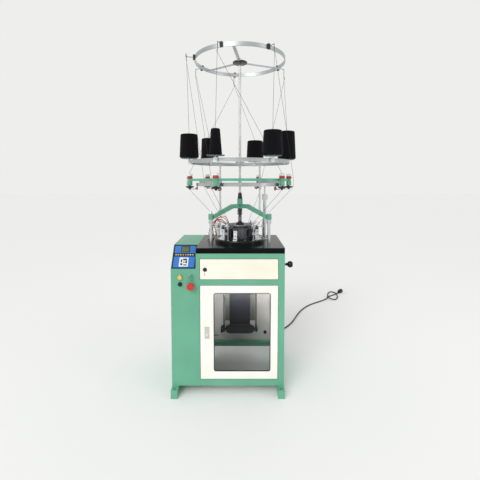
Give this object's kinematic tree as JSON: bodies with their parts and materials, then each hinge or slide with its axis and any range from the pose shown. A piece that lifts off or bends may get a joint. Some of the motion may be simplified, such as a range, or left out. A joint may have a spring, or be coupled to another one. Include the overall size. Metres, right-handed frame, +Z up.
{
  "type": "industrial knitting machine",
  "caption": "Industrial knitting machine with a small needle head on a cabinet, a tall creel of black yarn cones and a power cord.",
  "frame": {"origin": "on the floor under the middle of the machine, its free power cord left out", "axes": "+X to the right as the operator faces the console, +Y towards the back, +Z up along the mast"},
  "size_m": [1.4776, 1.8703, 1.9053],
  "materials": {
    "green_paint": "satin powder coat",
    "cream_paint": "satin powder coat",
    "grey_paint": "satin",
    "black_enamel": "gloss",
    "machine_green": "satin casting enamel",
    "motor_paint": "satin",
    "bright_steel": "ground",
    "polished_ring": "polished",
    "aluminium": "satin",
    "blued_steel": "oiled, dark",
    "gear_steel": "cut, oiled",
    "needle_steel": "polished",
    "takedown_paint": "matte",
    "black_plastic": "matte",
    "blue_membrane": "satin film",
    "display": "gloss",
    "green_button": "gloss",
    "yellow_button": "gloss",
    "red_button": "gloss",
    "stop_stem": "satin",
    "tinted_window": "gloss",
    "tension_plastic": "gloss",
    "saucer_plastic": "satin",
    "belt_rubber": "matte",
    "cord_rubber": "matte",
    "black_yarn": "wound yarn",
    "net_fabric": "knitted net"
  },
  "bodies": {
    "machine": {"foot_rails": "green_paint", "cabinet_shell": "green_paint", "rear_panel": "grey_paint", "tabletop": "black_enamel", "console_panel": "blue_membrane", "console_display": "display", "hinge_pins": "bright_steel", "button_bezels": "bright_steel", "motor": "motor_paint", "drive_belt": "belt_rubber", "shaft_bearings": "motor_paint", "bed_ring": "black_enamel", "dial": "blued_steel", "dial_spindle": "bright_steel", "cam_brackets": "aluminium", "cam_segments": "blued_steel", "yarn_feeders": "bright_steel", "bridge_casting": "machine_green", "bridge_columns": "bright_steel", "hub_cap": "black_plastic", "ring_post": "bright_steel", "creel_rods": "bright_steel", "feeder_frame": "machine_green", "guide_ring": "polished_ring", "tension_units": "tension_plastic", "brake_discs": "black_plastic", "creel_ring": "aluminium", "creel_brackets": "aluminium", "saucers": "saucer_plastic", "yarn_cones": "black_yarn", "mast": "bright_steel", "top_ring": "aluminium", "yarn_guides": "black_plastic", "yarns": "black_yarn", "cord_gland": "black_plastic", "power_cord": "cord_rubber", "power_plug": "cord_rubber"},
    "door": {"door_frame": "cream_paint", "door_glass": "tinted_window", "latch_housing": "bright_steel"},
    "door_latch": {"latch_handle": "bright_steel"},
    "cover": {"upper_cover": "cream_paint"},
    "cover_lock": {"cover_lock": "black_plastic"},
    "start_button": {"start_button": "green_button"},
    "reset_button": {"reset_button": "yellow_button"},
    "jog_button": {"jog_button": "black_plastic"},
    "stop_stem": {"estop_stem": "stop_stem"},
    "stop_head": {"estop_head": "red_button"},
    "side_knob": {"side_knob": "black_plastic"},
    "rotor": {"needle_cylinder": "blued_steel", "needles": "needle_steel", "cylinder_gear": "gear_steel", "takedown_frame": "takedown_paint", "net_tube": "net_fabric"},
    "winder": {"winding_roller": "gear_steel", "net_roll": "net_fabric"},
    "star_wheel": {"star_wheel": "gear_steel"},
    "pinion": {"pinion_shaft": "gear_steel", "drive_pulley": "bright_steel"},
    "motor_rotor": {"motor_pulley": "bright_steel"}
  },
  "joints": [
    {"name": "door_hinge", "type": "hinge", "parent": "machine", "child": "door", "pos_m": [0.22, -0.225, 0.351], "axis": [0, 0, 1], "range_deg": [0, 110]},
    {"name": "door_latch_swing", "type": "hinge", "parent": "door", "child": "door_latch", "pos_m": [-0.163, -0.229, 0.3765], "axis": [-1, 0, 0], "range_deg": [0, 35], "stiffness_Nm_per_rad": 0.02, "springref_deg": -17.19},
    {"name": "cover_hinge", "type": "hinge", "parent": "machine", "child": "cover", "pos_m": [0.22, -0.225, 0.704], "axis": [0, 0, 1], "range_deg": [0, 110]},
    {"name": "cover_lock_turn", "type": "hinge", "parent": "cover", "child": "cover_lock", "pos_m": [-0.172, -0.23, 0.702], "axis": [0, -1, 0], "range_deg": [0, 90]},
    {"name": "start_press", "type": "slide", "parent": "machine", "child": "start_button", "axis": [0, 1, 0], "range_m": [0, 0.004], "stiffness_N_per_m": 300, "springref_m": -0.001},
    {"name": "reset_press", "type": "slide", "parent": "machine", "child": "reset_button", "axis": [0, 1, 0], "range_m": [0, 0.004], "stiffness_N_per_m": 300, "springref_m": -0.001},
    {"name": "jog_press", "type": "slide", "parent": "machine", "child": "jog_button", "axis": [0, 1, 0], "range_m": [0, 0.004], "stiffness_N_per_m": 300, "springref_m": -0.001},
    {"name": "stop_press", "type": "slide", "parent": "machine", "child": "stop_stem", "axis": [0, 1, 0], "range_m": [0, 0.005]},
    {"name": "stop_twist", "type": "hinge", "parent": "stop_stem", "child": "stop_head", "pos_m": [-0.248, -0.24, 0.616], "axis": [0, 1, 0], "range_deg": [0, 30], "stiffness_Nm_per_rad": 0.05, "springref_deg": -5.73},
    {"name": "side_knob_turn", "type": "hinge", "parent": "machine", "child": "side_knob", "pos_m": [0.262, -0.19, 0.722], "axis": [1, 0, 0], "continuous": true},
    {"name": "cylinder_spin", "type": "hinge", "parent": "machine", "child": "rotor", "pos_m": [0.018, 0, 0.85], "axis": [0, 0, 1], "continuous": true},
    {"name": "pinion_spin", "type": "hinge", "parent": "machine", "child": "pinion", "pos_m": [-0.12284, 0.05978, 0.76], "axis": [0, 0, 1], "continuous": true},
    {"name": "motor_spin", "type": "hinge", "parent": "machine", "child": "motor_rotor", "pos_m": [-0.29, 0.05978, 0.708], "axis": [0, 0, 1], "continuous": true},
    {"name": "star_spin", "type": "hinge", "parent": "rotor", "child": "star_wheel", "pos_m": [-0.0805, 0.00354, 0.266], "axis": [1, 0, 0], "continuous": true},
    {"name": "winder_spin", "type": "hinge", "parent": "rotor", "child": "winder", "pos_m": [0.018, -0.0259, 0.283], "axis": [1, 0, 0], "continuous": true}
  ],
  "couplings": [
    {"joint": "pinion_spin", "follows": "cylinder_spin", "ratio": -2.4},
    {"joint": "motor_spin", "follows": "cylinder_spin", "ratio": -3.6},
    {"joint": "star_spin", "follows": "cylinder_spin", "ratio": 0.16667},
    {"joint": "winder_spin", "follows": "cylinder_spin", "ratio": -0.11667}
  ]
}
